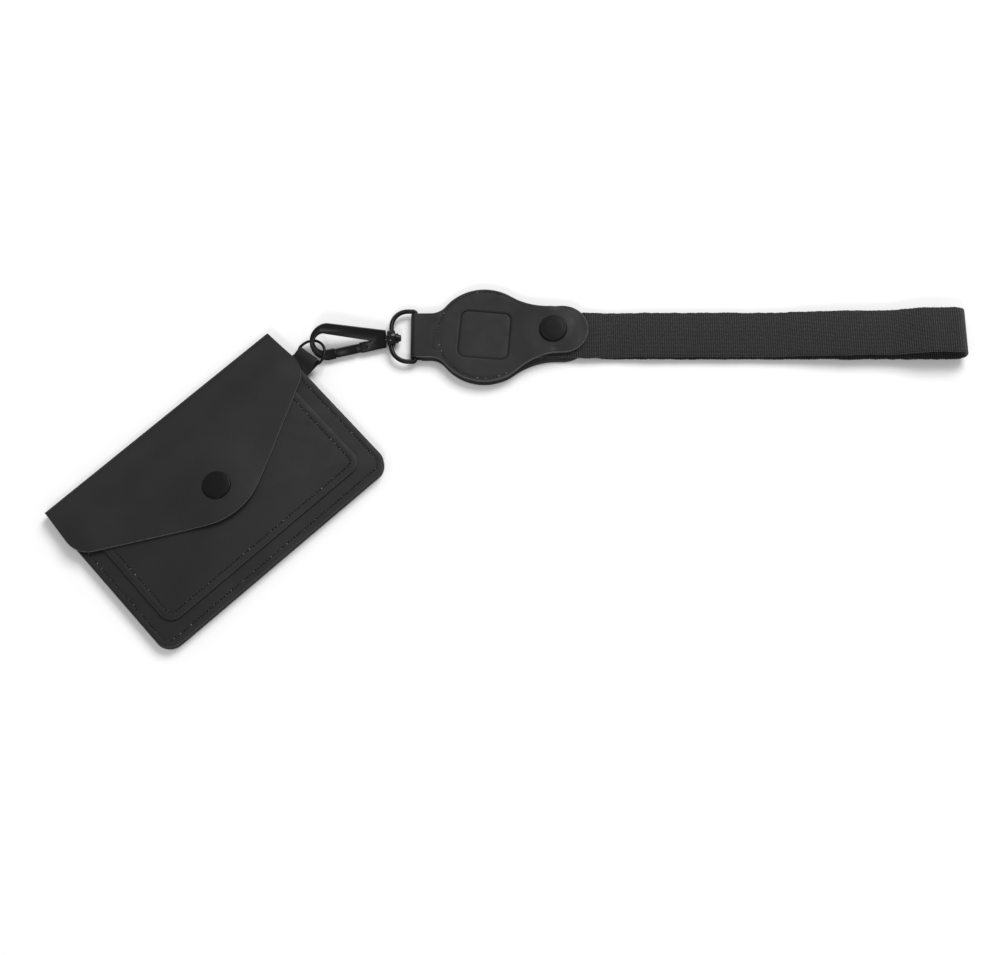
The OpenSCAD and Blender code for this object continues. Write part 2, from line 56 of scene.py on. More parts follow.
VIEW_AIM = Vector((0.11732, 0.00625, 0.0))
VIEW_ELEVATION = math.radians(71.4)
VIEW_DISTANCE = 0.7
LIGHT_AIM = Vector((0.12, 0.02, 0))


def add_camera():
    data = bpy.data.cameras.new("camera")
    data.lens = 60
    data.sensor_width = 36
    camera = bpy.data.objects.new("camera", data)
    back = Vector((0, -math.cos(VIEW_ELEVATION), math.sin(VIEW_ELEVATION)))
    camera.location = VIEW_AIM + VIEW_DISTANCE * back
    camera.rotation_euler = (-back).to_track_quat("-Z", "Y").to_euler()
    bpy.context.scene.collection.objects.link(camera)
    bpy.context.scene.camera = camera


def add_light(name, location, size, power):
    data = bpy.data.lights.new(name, "AREA")
    data.shape = "SQUARE"
    data.size = size
    data.energy = power
    light = bpy.data.objects.new(name, data)
    light.location = location
    light.rotation_euler = (LIGHT_AIM - Vector(location)).to_track_quat("-Z", "Y").to_euler()
    bpy.context.scene.collection.objects.link(light)


def add_world(strength):
    world = bpy.data.worlds.new("studio")
    world.use_nodes = True
    background = world.node_tree.nodes["Background"]
    background.inputs["Color"].default_value = (1, 1, 1, 1)
    background.inputs["Strength"].default_value = strength
    bpy.context.scene.world = world


add_camera()
bpy.context.scene.view_settings.view_transform = "Standard"
add_world(strength=0.85)
add_light("key", (0.81, 1.35, 1.92), size=1.28, power=69)
add_light("fill", (0.02, -0.95, 1.0), size=0.2, power=5)


# ---- frames of the moving parts ----

joints = {joint["name"]: joint for joint in frame["joints"]}


def joint_point(name):
    return Vector(joints[name]["pos_m"])


def joint_axis(name):
    return Vector(joints[name]["axis"]).normalized()


def axes_at(origin, x_axis, z_hint):
    """A frame at origin, with X along x_axis and Z as near to z_hint as it can be."""
    x = Vector(x_axis).normalized()
    y = Vector(z_hint).cross(x).normalized()
    z = x.cross(y)
    turned = Matrix((x, y, z)).transposed().to_4x4()
    return Matrix.Translation(origin) @ turned


UP = Vector((0, 0, 1))
fold = joint_point("flap_fold")
ring_at = joint_point("ring_swing")
link_at = joint_point("hook_swing")
swivel_at = joint_point("swivel")
bar_at = joint_point("holder_swing")

POUCH = axes_at((0, 0, 0), -joint_axis("flap_fold"), UP)
STRAP = Matrix.Translation((bar_at.x, bar_at.y, 0))
HOOK = axes_at(swivel_at, joint_axis("swivel"), -joint_axis("gate_pivot"))
EYE = axes_at(swivel_at, (bar_at.x - swivel_at.x, 0, bar_at.z - swivel_at.z), UP)
ALONG_HOOK = HOOK @ Matrix.Rotation(math.pi / 2, 4, "Y")
RING = axes_at(ring_at, link_at - ring_at, (link_at - ring_at).cross(-joint_axis("ring_swing")))


# ---- sizes, in millimetres, in those frames ----

# In the names, low and high are the heights of a layer's two faces above the table.

# pouch
half_w = 60
bottom_y = -40.5
corner_r = 7
leather_t = 1.2
panel_top = 35.3
front_low, front_high = 3.3, 4.5
pocket_half = 51.7
pocket_low = -32.5
pocket_rise = 20
pocket_r = 6
pocket_high = 5.6
seam_inset = 2.8
pocket_inset = 3.1
fold_y = (POUCH.inverted() @ fold).y / MM
fold_z = fold.z / MM
fold_r = 3.0

# flap
flap_half = 61
flap_drop = 13.9
flap_tip_r = 28
flap_slope = math.radians(29)
flap_corner = 12
flap_tilt = math.radians(3.3)

# snaps
cap_r = 6
cap_h = 1.0

# hardware
ring_wire = 0.6
ring_half = 6.5
ring_leg = 1.4
tab_half = 5.7
wrap_gap = 0.1
hook_t = 2.3
bow_r = 8
bow_x = -27
base_x = -2.2
base_half = 3.7
hole_x = -29.1
hole_r = 3.7
hole_tip = Vector((-9, -0.4))
gate_root = Vector((-11.2, -3.0))
gate_tip = Vector((-24.2, -5.2))
gate_half = 1.9
nose_gap = 0.07
cheek_r = 3.6
boss_r = 3.6
boss_half = 1.8
eye_wire = 1.0
eye_half = 11.7
eye_bend = 7.2
eye_depth = 10.4
eye_offset = 1.2

# holder
holder_x = 29.6
holder_r = 21.4
holder_back_high = 1.3
holder_face_low = 3.7
holder_high = 5.0
neck_half = 10.2
neck_fillet = 8
neck_cover = 2.6
tail_half = 10.8
tail_fillet = 30
tail_len = 34
tail_turn = math.radians(4.5)
window_half = 10.75
window_r = 3.2
window_turn = math.radians(-5)
tongue_x = (joint_point("tongue_lift").x - bar_at.x) / MM
tongue_tilt = math.radians(4.4)
snap_reach = 29.7
stitch_r = 20.05
bar_z = bar_at.z / MM

# strap
strap_half = 10.3
strap_t = 1.05
strap_y = 0.75
strap_start = 45.5
strap_len = 236.5
loop_h = 9.6
layer_gap = 0.05
part_start, part_end = 72, 100
sag_start, sag_end = 145, 192
bulge_start, bulge_end = 202, 222


# ---- materials ----


def new_material(name, colour, roughness):
    material = bpy.data.materials.new(name)
    material.use_nodes = True
    material.diffuse_color = (*colour, 1)
    shader = material.node_tree.nodes["Principled BSDF"]
    shader.inputs["Base Color"].default_value = (*colour, 1)
    shader.inputs["Roughness"].default_value = roughness
    return material, shader


def add_node(material, kind, **values):
    """A node of that kind, with its input sockets set by name."""
    node = material.node_tree.nodes.new(kind)
    for name, value in values.items():
        node.inputs[name.replace("_", " ")].default_value = value
    return node


def join(material, output, target):
    material.node_tree.links.new(output, target)


def surface_texture(material, kind, **values):
    """A texture laid out in the piece's own space."""
    place = material.node_tree.nodes.new("ShaderNodeTexCoord")
    texture = add_node(material, kind, **values)
    join(material, place.outputs["Object"], texture.inputs["Vector"])
    return texture


def surface_noise(material, scale, detail=3.0):
    """Noise in the piece's own space, with that many cells to a metre."""
    return surface_texture(material, "ShaderNodeTexNoise", Scale=scale, Detail=detail).outputs["Fac"]


def remap(material, source, low, high, start=0.3, end=0.7):
    """source from start to end, spread over low to high."""
    node = add_node(material, "ShaderNodeMapRange", From_Min=start, From_Max=end, To_Min=low, To_Max=high)
    join(material, source, node.inputs["Value"])
    return node.outputs["Result"]


def tint(material, shader, factor, dark, light):
    """The base colour runs from dark to light with factor, which goes from 0 to 1."""
    mix = material.node_tree.nodes.new("ShaderNodeMix")
    mix.data_type = "RGBA"
    mix.inputs[6].default_value = (*dark, 1)
    mix.inputs[7].default_value = (*light, 1)
    join(material, factor, mix.inputs[0])
    join(material, mix.outputs[2], shader.inputs["Base Color"])


def bump(material, shader, layers):
    """Stacks bumps, each (height output, strength, distance in millimetres)."""
    last = None
    for height, strength, distance in layers:
        node = add_node(material, "ShaderNodeBump", Strength=strength, Distance=distance * MM)
        join(material, height, node.inputs["Height"])
        if last:
            join(material, last, node.inputs["Normal"])
        last = node.outputs["Normal"]
    join(material, last, shader.inputs["Normal"])


def shade_of(colour, factor):
    return tuple(channel * factor for channel in colour)


def leather(name, colour, roughness=0.5, grain=0.25):
    """Smooth coated leather: cloudy colour, fine pebbled grain and uneven gloss."""
    material, shader = new_material(name, colour, roughness)
    clouds = surface_noise(material, 45, 4)
    tint(material, shader, remap(material, clouds, 0, 1), shade_of(colour, 0.85), shade_of(colour, 1.15))
    join(material, remap(material, surface_noise(material, 160), roughness - 0.05, roughness + 0.07),
         shader.inputs["Roughness"])
    pebbles = surface_texture(material, "ShaderNodeTexVoronoi", Scale=1400.0)
    bump(material, shader, [(pebbles.outputs["Distance"], grain, 0.05),
                            (surface_noise(material, 260, 2), grain, 0.12)])
    shader.inputs["Specular IOR Level"].default_value = 0.1
    return material


def cut_edge(name, colour):
    """A fibrous band for a cut edge, in the tone it is given; some callers give it painted highlight or
    painted shade.
    """
    material, shader = new_material(name, colour, 0.6)
    shader.inputs["Specular IOR Level"].default_value = 0.12
    fibres = surface_noise(material, 1800, 5)
    tint(material, shader, remap(material, fibres, 0, 1), shade_of(colour, 0.6), shade_of(colour, 1.25))
    bump(material, shader, [(fibres, 0.5, 0.1)])
    return material


def coated_metal(name, colour, roughness=0.3, gloss=0.1, wear=2.0):
    """Black coated metal, with a faint orange peel. Its rubbed patches are wear times as light."""
    material, shader = new_material(name, colour, roughness)
    shader.inputs["Specular IOR Level"].default_value = gloss
    rubbed = surface_noise(material, 420, 4)
    tint(material, shader, remap(material, rubbed, 0, 1, 0.55, 0.75), colour, shade_of(colour, wear))
    join(material, remap(material, surface_noise(material, 900), roughness - 0.02, roughness + 0.04),
         shader.inputs["Roughness"])
    bump(material, shader, [(surface_noise(material, 900, 2), 0.03, 0.03)])
    return material


def bright_metal(name, colour):
    material, shader = new_material(name, colour, 0.3)
    shader.inputs["Metallic"].default_value = 1.0
    streaks = surface_noise(material, 3000, 2)
    join(material, remap(material, streaks, 0.22, 0.42), shader.inputs["Roughness"])
    bump(material, shader, [(streaks, 0.1, 0.02)])
    return material


def thread(name, colour):
    """Waxed thread, with its twist as a fine slanted bump and painted highlights as random light flecks on
    it.
    """
    # how many times as light as the thread its painted highlights are
    glint_gain = 30
    material, shader = new_material(name, colour, 0.45)
    shader.inputs["Specular IOR Level"].default_value = 0.1
    twist = surface_texture(material, "ShaderNodeTexWave", Scale=900.0, Distortion=1.5)
    twist.bands_direction = "DIAGONAL"
    # painted highlights: random flecks, many times as light as the thread, stand for glints of light on it
    painted_light_and_tone = remap(material, surface_noise(material, 1500, 1), 0, 1, 0.56, 0.66)
    tint(material, shader, painted_light_and_tone, colour, shade_of(colour, glint_gain))
    bump(material, shader, [(twist.outputs["Fac"], 0.6, 0.12)])
    return material


def wave_scale(pitch):
    """The scale at which a wave texture repeats at pitch. At scale 1 it repeats every pi / 10."""
    return math.pi / 10 / pitch


def combine(material, first, second, operation="MULTIPLY"):
    """Two shader values multiplied, or added."""
    node = add_node(material, "ShaderNodeMath")
    node.operation = operation
    join(material, first, node.inputs[0])
    join(material, second, node.inputs[1])
    return node.outputs["Value"]


def webbing(name, colour, rib_pitch, yarn_pitch):
    """Woven webbing. Its UV map is in millimetres, along the webbing and across it."""
    material, shader = new_material(name, colour, 0.85)
    ribs = add_node(material, "ShaderNodeTexWave", Scale=wave_scale(rib_pitch), Distortion=0.35,
                    Detail_Scale=1.6)
    yarns = add_node(material, "ShaderNodeTexWave", Scale=wave_scale(yarn_pitch), Distortion=0.5)
    yarns.bands_direction = "Y"
    fluff = add_node(material, "ShaderNodeTexNoise", Scale=1.7, Detail=4.0)
    fine = add_node(material, "ShaderNodeTexNoise", Scale=2.6, Detail=2.0)
    place = material.node_tree.nodes.new("ShaderNodeUVMap")
    for texture in (ribs, yarns, fluff, fine):
        join(material, place.outputs["UV"], texture.inputs["Vector"])
    # the colour follows the weave: its ribs are painted light and its furrows painted shade, in cloudy
    # patches of tone from the fluff noise, with lighter fibre specks
    weave = combine(material, ribs.outputs["Fac"], yarns.outputs["Fac"])
    painted_light_and_tone = combine(material, weave, remap(material, fluff.outputs["Fac"], 0.2, 1.7))
    specks = remap(material, fine.outputs["Fac"], 0, 0.9, 0.66, 0.76)
    specked = combine(material, painted_light_and_tone, specks, "ADD")
    tint(material, shader, specked, shade_of(colour, 0.3), shade_of(colour, 3.1))
    bump(material, shader, [(weave, 1.0, 0.4), (fluff.outputs["Fac"], 0.8, 0.3)])
    shader.inputs["Sheen Weight"].default_value = 0.12
    shader.inputs["Specular IOR Level"].default_value = 0.15
    return material


LEATHER = (0.0096, 0.0096, 0.0098)
# EDGE is the cut edge's tone, lighter than the leather; on the panels it also covers the rounded rim of the
# face, where its lightness is partly a painted highlight along the edge
EDGE = (0.02, 0.02, 0.0203)
BLACK = (0.003, 0.003, 0.0031)

panel_leather = leather("panel_leather", LEATHER)
flap_leather = leather("flap_leather", shade_of(LEATHER, 0.98), roughness=0.52)
lining_leather = leather("lining_leather", shade_of(LEATHER, 0.62), roughness=0.7, grain=0.5)
edge_leather = cut_edge("edge_leather", EDGE)
# lighter copies of the edge tone: painted highlight on the flap's and the holder's rounded edges
flap_edge_highlight = cut_edge("flap_edge_highlight", shade_of(EDGE, 4))
holder_edge_highlight = cut_edge("holder_edge_highlight", shade_of(EDGE, 2.4))
inner_edge = cut_edge("inner_edge", shade_of(LEATHER, 0.75))
black_metal = coated_metal("black_metal", BLACK)
cap_metal = coated_metal("cap_metal", BLACK, roughness=0.34, gloss=0.07, wear=1.1)
turned_metal = coated_metal("turned_metal", BLACK, roughness=0.16, gloss=0.16)
inner_metal = coated_metal("inner_metal", shade_of(BLACK, 1.3), roughness=0.4)
spring_metal = bright_metal("spring_metal", (0.45, 0.45, 0.46))
seam_thread = thread("seam_thread", (0.003, 0.003, 0.003))
# near-black discs at the stitch ends: painted shade inside the stitch holes
painted_hole_shade = cut_edge("painted_hole_shade", (0.001, 0.001, 0.001))
strap_webbing = webbing("strap_webbing", (0.0108, 0.0108, 0.011), rib_pitch=0.95, yarn_pitch=0.62)


# ---- making meshes ----

SHARP_ANGLE = math.radians(38)


def add_piece(name, where, points, faces, materials, bands=(), uvs=None):
    """A mesh piece from points in millimetres in the frame where. bands gives each face's material."""
    mesh = bpy.data.meshes.new(name)
    mesh.from_pydata([where @ (Vector(p) * MM) for p in points], [], faces)
    for material in materials:
        mesh.materials.append(material)
    for polygon, band in zip(mesh.polygons, bands):
        polygon.material_index = band
    if uvs:
        layer = mesh.uv_layers.new(name="UVMap")
        for loop in mesh.loops:
            layer.data[loop.index].uv = uvs[loop.vertex_index]
    mesh.validate()
    mesh.shade_smooth()
    mesh.set_sharp_from_angle(angle=SHARP_ANGLE)
    piece = bpy.data.objects.new(name, mesh)
    bpy.context.scene.collection.objects.link(piece)
    return piece


def apply_modifiers(piece):
    """The piece's mesh as its modifiers leave it."""
    seen = piece.evaluated_get(bpy.context.evaluated_depsgraph_get())
    mesh = bpy.data.meshes.new_from_object(seen)
    piece.modifiers.clear()
    piece.data = mesh
    mesh.set_sharp_from_angle(angle=SHARP_ANGLE)


def bevel(piece, width, angle, material=-1):
    """Rounds the edges sharper than angle. The rounding takes its material, or its neighbours' if -1."""
    modifier = piece.modifiers.new("bevel", "BEVEL")
    modifier.material = material
    modifier.width = width * MM
    modifier.segments = 2
    modifier.limit_method = "ANGLE"
    modifier.angle_limit = math.radians(angle)
    apply_modifiers(piece)


def loft(rings, closed=False, bands=None):
    """Points, faces and face materials that join equal rings of points, one after the other."""
    count = len(rings[0])
    points = [p for ring in rings for p in ring]
    spans = len(rings) if closed else len(rings) - 1
    faces = []
    materials = []
    for i in range(spans):
        first = i * count
        second = (i + 1) % len(rings) * count
        for k in range(count):
            after = (k + 1) % count
            faces.append((first + k, first + after, second + after, second + k))
            materials.append(bands[i] if bands else 0)
    if not closed:
        faces.append(tuple(reversed(range(count))))
        faces.append(tuple(range(len(points) - count, len(points))))
        materials += [bands[0] if bands else 0, bands[-1] if bands else 0]
    return points, faces, materials


def add_loft(name, where, rings, materials, closed=False, bands=None, uvs=None):
    """A piece that is one loft."""
    points, faces, face_bands = loft(rings, closed, bands)
    return add_piece(name, where, points, faces, materials, face_bands, uvs)


def arc(centre, radius, start, end, steps):
    """Points on an arc, with angles in degrees."""
    turns = [math.radians(start + (end - start) * i / steps) for i in range(steps + 1)]
    return [(centre[0] + radius * math.cos(a), centre[1] + radius * math.sin(a)) for a in turns]


def oval_section(width, height, corner):
    """A rounded rectangle, as points (across the path, in the path's plane)."""
    steps = 3
    w = width / 2 - corner
    h = height / 2 - corner
    corners = [((w, h), 0), ((-w, h), 90), ((-w, -h), 180), ((w, -h), 270)]
    return [p for centre, start in corners for p in arc(centre, corner, start, start + 90, steps)]


def sweep(path, section, place, closed=False):
    """Rings of the section along a flat path.

    place(p, q, w) turns a point (p, q) of the path's plane, and w across that plane, into a 3-D point.
    """
    rings = []
    for i, (p, q) in enumerate(path):
        before = path[i - 1] if closed or i > 0 else path[i]
        after = path[(i + 1) % len(path)] if closed or i < len(path) - 1 else path[i]
        along = (Vector(after) - Vector(before)).normalized()
        rings.append([place(p - along.y * b, q + along.x * b, a) for a, b in section])
    return rings


def lathe(profile, steps):
    """Rings of (radius, height) points about Z."""
    return [[(r * math.cos(2 * math.pi * k / steps), r * math.sin(2 * math.pi * k / steps), h)
             for k in range(steps)] for r, h in profile]


def append_part(points, faces, part):
    """Adds a loft to a piece made of several, and returns how many faces it added."""
    new_points, new_faces, _ = part
    base = len(points)
    points += new_points
    faces += [tuple(base + v for v in face) for face in new_faces]
    return len(new_faces)


def flat(points, z):
    return [(x, y, z) for x, y in points]


def ease(value, low, high):
    """A smooth step from 0 at low to 1 at high."""
    t = max(0.0, min(1.0, (value - low) / (high - low)))
    return t * t * (3 - 2 * t)


def fit(piece, body, nodes):
    """The piece rides on the body and stands for those CAD nodes."""
    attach(piece, body)
    if nodes:
        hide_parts(*nodes)


# ---- outlines ----

LEAST_R = 0.05


def panel_outline(half, low, high, corner, inset):
    """A panel with two round lower corners, drawn inset from its edge."""
    r = max(LEAST_R, corner - inset)
    top_r = 0.6
    left, right = -half + inset, half - inset
    low, high = low + inset, high - inset
    return (arc((left + r, low + r), r, 180, 270, 12) + arc((right - r, low + r), r, 270, 360, 12)
            + arc((right - top_r, high - top_r), top_r, 0, 90, 2)
            + arc((left + top_r, high - top_r), top_r, 90, 180, 2))


def seam_path(half, low, high, corner, inset):
    """The line of stitches round a panel's two sides and its lower edge."""
    r = max(LEAST_R, corner - inset)
    left, right, bottom = -half + inset, half - inset, low + inset
    return ([(left, high)] + arc((left + r, bottom + r), r, 180, 270, 8)
            + arc((right - r, bottom + r), r, 270, 360, 8) + [(right, high)])


def slab_rings(outline, low, high, groove=None):
    """Rings of a leather panel from its underside to its face, with a pressed line at groove."""
    depth = 0.08
    round_low, round_high = 0.2, 0.3
    chamfer = 0.3 * round_high
    levels = [(round_low, low), (0, low + round_low), (0, high - round_high),
              (chamfer, high - chamfer), (round_high, high)]
    if groove:
        wide, narrow, shallow = 0.6, 0.25, 0.6 * depth
        levels += [(groove - wide, high), (groove - narrow, high - shallow), (groove, high - depth),
                   (groove + narrow, high - shallow), (groove + wide, high)]
    return [flat(outline(inset), z) for inset, z in levels]


def edge_bands(rings):
    """Material 1 on the cut edge and its rounded rim, which are a slab's spans 1 to 3, and 0 elsewhere."""
    return [1 if 1 <= i <= 3 else 0 for i in range(len(rings) - 1)]


# ---- stitches ----


def running_lengths(path):
    lengths = [0.0]
    for a, b in zip(path, path[1:]):
        lengths.append(lengths[-1] + (Vector(b) - Vector(a)).length)
    return lengths


def spaced(path, pitch):
    """Centres and directions of stitches spaced evenly along a path."""
    lengths = running_lengths(path)
    count = max(1, round(lengths[-1] / pitch))
    found = []
    for i in range(count):
        at = (i + 0.5) * lengths[-1] / count
        k = max(j for j in range(len(path) - 1) if lengths[j] <= at)
        a, b = Vector(path[k]), Vector(path[k + 1])
        share = (at - lengths[k]) / (lengths[k + 1] - lengths[k])
        found.append((a.lerp(b, share), (b - a).normalized()))
    return found


# the thread and its two holes, which are near-black discs of painted shade: material, start and end in half
# stitches, thickness, rise, steps
STITCH_PARTS = ((0, -0.95, 0.95, 1.0, 0.12, 6),
                (1, -1.35, -0.7, 1.5, 0.1, 3),
                (1, 0.7, 1.35, 1.5, 0.1, 3))


def stitch_rings(centre, heading, start, end, wide, tall, height, rise, steps):
    """Rings of one part of a stitch. It bulges in its middle, and its ends are sunk in the leather."""
    around = 8
    sunk = 0.12
    blunt = 0.04
    across = Vector((-heading.y, heading.x))
    rings = []
    for i in range(steps + 1):
        t = i / steps
        bulge = math.sqrt(max(blunt, 1 - (2 * t - 1) ** 4))
        middle = centre + heading * (start + (end - start) * t)
        lift = height - sunk + rise * math.sin(math.pi * t)
        ring = []
        for k in range(around):
            turn = 2 * math.pi * k / around
            spot = middle + across * wide * bulge * math.cos(turn)
            ring.append((spot.x, spot.y, lift + tall * bulge * math.sin(turn)))
        rings.append(ring)
    return rings


def stitch_row(name, where, path, height):
    """A row of slightly slanted stitches, each with a near-black disc at either end, painted shade of its
    hole.
    """
    pitch = 3.0
    half_length = 0.875
    radius = 0.28
    tall = 0.55 * radius
    lean = 0.09
    points, faces, bands = [], [], []
    for centre, along in spaced(path, pitch):
        side = Vector((-along.y, along.x))
        heading = (along + lean * side).normalized()
        for band, start, end, thick, rise, steps in STITCH_PARTS:
            rings = stitch_rings(centre, heading, start * half_length, end * half_length, radius * thick,
                                 tall, height, rise, steps)
            bands += [band] * append_part(points, faces, loft(rings))
    return add_piece(name, where, points, faces, [seam_thread, painted_hole_shade], bands)


# ---- pouch ----


def corner_y(x, half, low, corner):
    """The lower edge of a panel with round corners, above x."""
    past = abs(x) - (half - corner)
    if past <= 0:
        return low
    return low + corner - math.sqrt(max(0.0, corner ** 2 - past ** 2))


tip_y = -flap_drop
tip_centre_y = tip_y + flap_tip_r
touch_x = flap_tip_r * math.sin(flap_slope)
touch_y = tip_centre_y - flap_tip_r * math.cos(flap_slope)
side_y = touch_y + (flap_half - touch_x) * math.tan(flap_slope)
corner_reach = flap_corner * math.tan((math.pi / 2 - flap_slope) / 2)


def flap_edge_y(x):
    """The flap's lower edge above x: a round tip, two slanted edges and two round corners."""
    x = abs(x)
    if x <= touch_x:
        return tip_centre_y - math.sqrt(flap_tip_r ** 2 - x ** 2)
    past = x - (flap_half - flap_corner)
    if past > flap_corner * math.sin(flap_slope):
        return side_y + corner_reach - math.sqrt(max(0.0, flap_corner ** 2 - past ** 2))
    return touch_y + (x - touch_x) * math.tan(flap_slope)


def flap_height(x, y):
    """Height of the draped flap's underside: over the panels, and lifted by its snap."""
    air, slack = 0.12, 0.05
    side_share = 0.6
    near_fold, stiff = 2, 12
    snap_r, free_r = 5.5, 25
    from_fold = fold_y - y
    inside = ease(flap_half - abs(x), 0, flap_half - pocket_half)
    over_pocket = (side_share + (1 - side_share) * inside) * ease(from_fold, near_fold, fold_y - pocket_rise)
    lying = front_high + air + over_pocket * (pocket_high - front_high + slack)
    plane = fold_z + (fold_r - leather_t) * math.cos(flap_tilt) + from_fold * math.sin(flap_tilt)
    held = plane + (lying - plane) * ease(math.hypot(x, 0.9 * y), snap_r, free_r)
    at_fold = fold_z + fold_r - leather_t
    return at_fold + (held - at_fold) * ease(from_fold, 0, stiff)


def flap_columns():
    """Places across the flap, close together at its round corners."""
    corner_turn, corner_step = 60, 6
    inner = 34
    corner = [flap_half - flap_corner + flap_corner * math.cos(math.radians(a))
              for a in range(0, corner_turn + 1, corner_step)]
    half = corner + [corner[-1] * (1 - i / inner) for i in range(1, inner)]
    return half + [0.0] + [-x for x in reversed(half)]


def shell_column(x):
    """Points up the back, round the fold and down the flap's outer face, at x across the flap."""
    back_rows, fold_rows, flap_rows = 12, 14, 44
    points = []
    back_x = x * half_w / flap_half
    low = corner_y(back_x, half_w, bottom_y, corner_r)
    for i in range(back_rows):
        points.append((back_x, low + (fold_y - low) * i / back_rows, 0))
    for i in range(fold_rows):
        a = -math.pi / 2 + math.pi * i / fold_rows
        points.append((back_x, fold_y + fold_r * math.cos(a), fold_z + fold_r * math.sin(a)))
    end = flap_edge_y(x)
    for i in range(flap_rows + 1):
        y = fold_y + (end - fold_y) * i / flap_rows
        at = back_x + (x - back_x) * i / flap_rows
        points.append((at, y, flap_height(x, y) + leather_t))
    return points


def make_shell():
    """The back, the fold and the flap, in one piece of leather that bends at the fold."""
    columns = [shell_column(x) for x in flap_columns()]
    rows = len(columns[0])
    points = [p for column in columns for p in column]
    faces = []
    for c in range(len(columns) - 1):
        for r in range(rows - 1):
            a = c * rows + r
            faces.append((a, a + rows, a + rows + 1, a + 1))
    shell = add_piece("pouch_shell", POUCH, points, faces, [flap_leather, flap_edge_highlight])
    thick = shell.modifiers.new("thickness", "SOLIDIFY")
    thick.thickness = leather_t * MM
    thick.offset = -1
    thick.use_even_offset = True
    thick.material_offset_rim = 1
    apply_modifiers(shell)
    # the rounded edge takes the lighter flap edge material, a painted highlight along it
    bevel(shell, width=0.32, angle=50, material=1)
    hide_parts("back_panel", "flap")
    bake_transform(shell)


def make_panel(name, node, size, corner, heights, groove, materials):
    """One panel. size is its half width, its lowest and its highest edge, heights its two faces."""
    def outline(inset):
        return panel_outline(*size, corner, inset)
    rings = slab_rings(outline, *heights, groove)
    fit(add_loft(name, POUCH, rings, materials, bands=edge_bands(rings)), "pouch", [node])


def make_panels():
    """The layers inside the seam, the front panel and the pocket."""
    welt_in, divider_in = 0.35, 0.1
    divider_drop = 4
    apart = 0.02
    seam_end, pocket_seam_end = 1.5, 3.5
    welt_high = leather_t + (front_low - leather_t) / 3
    make_panel("seam_welt_layers", "seam_welts", (half_w - welt_in, bottom_y + welt_in, panel_top),
               corner_r, (leather_t, welt_high), None, [lining_leather, inner_edge])
    make_panel("divider_leather", "card_divider",
               (half_w - divider_in, bottom_y + divider_in, panel_top - divider_drop),
               corner_r, (welt_high, front_low), None, [lining_leather, edge_leather])
    make_panel("front_leather", "front_panel", (half_w, bottom_y, panel_top),
               corner_r, (front_low, front_high), seam_inset, [panel_leather, edge_leather])
    make_panel("pocket_leather", "front_pocket", (pocket_half, pocket_low, pocket_rise),
               pocket_r, (front_high + apart, pocket_high), pocket_inset, [panel_leather, edge_leather])
    outer = seam_path(half_w, bottom_y, panel_top - seam_end, corner_r, seam_inset)
    fit(stitch_row("pouch_seam_stitches", POUCH, outer, front_high), "pouch", ["pouch_stitching"])
    inner = seam_path(pocket_half, pocket_low, pocket_rise - pocket_seam_end, pocket_r, pocket_inset)
    fit(stitch_row("pocket_seam_stitches", POUCH, inner, pocket_high), "pouch", ["pocket_stitching"])


def make_tab():
    """A strip folded round the ring's bar: it leaves the seam flat and twists to the bar."""
    root = Vector((66.2, 20.2, 2.25))
    strip_t = 0.86
    wrap_r = ring_wire + wrap_gap + strip_t / 2
    reach = 10.0
    apart = 0.47
    twist_start, twist_end = -6.4, -1.2
    close_end = -4.5
    steps = 22

    def place(u, h, w):
        flat_point = POUCH @ ((root + Vector((u, w, h))) * MM)
        turned = RING @ (Vector((u, w, h)) * MM)
        return flat_point.lerp(turned, ease(u, twist_start, twist_end)) / MM

    def gap(u):
        return apart + (wrap_r - apart) * ease(u, close_end, 0)

    stations = [-reach + reach * i / steps for i in range(steps)]
    lower = [(u, -gap(u)) for u in stations]
    upper = [(u, -h) for u, h in reversed(lower)]
    path = lower + arc((0, 0), wrap_r, -90, 90, 14) + upper
    section = oval_section(2 * tab_half, strip_t, 0.25)
    tab = add_loft("tab_leather", Matrix.Identity(4), sweep(path, section, place), [panel_leather])
    fit(tab, "pouch", ["ring_tab"])


# ---- snaps ----


def make_cap(name, where, body, node):
    """A snap cap: a rounded rim, a faint ring inside it and a nearly flat face."""
    rim = [(0.5, 0), (0.1, 0.05), (0, 0.22), (0.03, 0.45), (0.15, 0.66), (0.36, 0.82), (0.65, 0.91)]
    groove = [(0.9, 0.92), (1.05, 0.9), (1.25, 0.93)]
    face = [(3.2, 0.98), (1.6, cap_h), (0.5, cap_h)]
    profile = [(cap_r - inset, h) for inset, h in rim + groove] + face
    fit(add_loft(name, where, lathe(profile, 72), [cap_metal]), body, [node])


def make_caps():
    """The caps of the flap's snap and the tongue's snap, in the planes of their leathers."""
    turned = Matrix.Rotation(-flap_tilt, 4, "X")
    fold_frame = POUCH @ Matrix.Translation(Vector((0, fold_y, fold_z)) * MM) @ turned
    make_cap("flap_snap_cap", fold_frame @ Matrix.Translation(Vector((0, -fold_y, fold_r)) * MM), "flap",
             "flap_cap")
    snap = Vector((holder_x + snap_reach * math.cos(tail_turn) - tongue_x,
                   snap_reach * math.sin(tail_turn), 0))
    hinge = STRAP @ Matrix.Translation(Vector((tongue_x, 0, holder_high)) * MM)
    hinge = hinge @ Matrix.Rotation(-tongue_tilt, 4, "Y")
    make_cap("tongue_snap_cap", hinge @ Matrix.Translation(snap * MM), "tongue", "tongue_cap")


# ---- ring, hook and swivel ----


